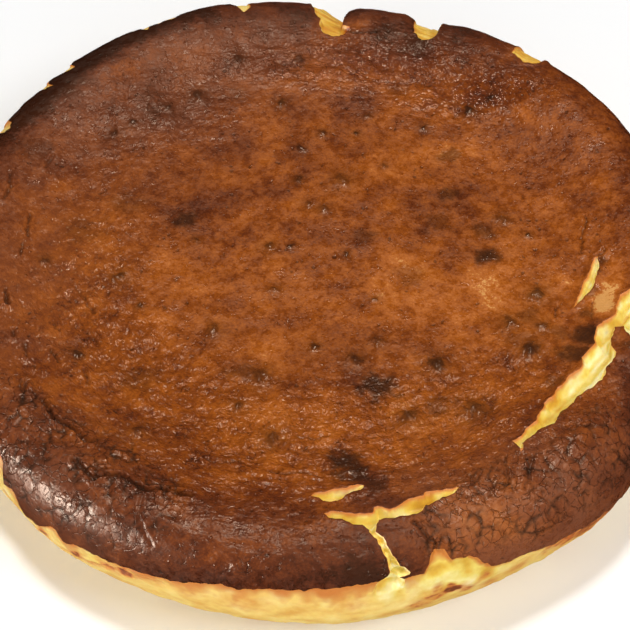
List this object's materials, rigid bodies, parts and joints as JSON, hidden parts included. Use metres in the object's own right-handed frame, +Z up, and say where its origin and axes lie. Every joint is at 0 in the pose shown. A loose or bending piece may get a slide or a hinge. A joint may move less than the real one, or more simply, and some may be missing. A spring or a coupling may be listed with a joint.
{
  "type": "burnt basque cheesecake",
  "caption": "Whole round baked cheesecake with a sunken, deeply browned and cracked top, a raised rim and a pale bulging side, resting on its flat base.",
  "frame": {"origin": "middle of the cake's round outline, on the flat base", "axes": "+Z up through the top; the side with the forked crack and the bare patch faces -Y, and the long crack lies towards +X, -Y"},
  "size_m": [0.2398, 0.2388, 0.0478],
  "materials": {
    "browned_crust": "satin browned skin with fine wrinkles, charred spots and cracks that show pale yellow custard"
  },
  "bodies": {
    "root": {"cheesecake": "browned_crust"}
  },
  "joints": []
}
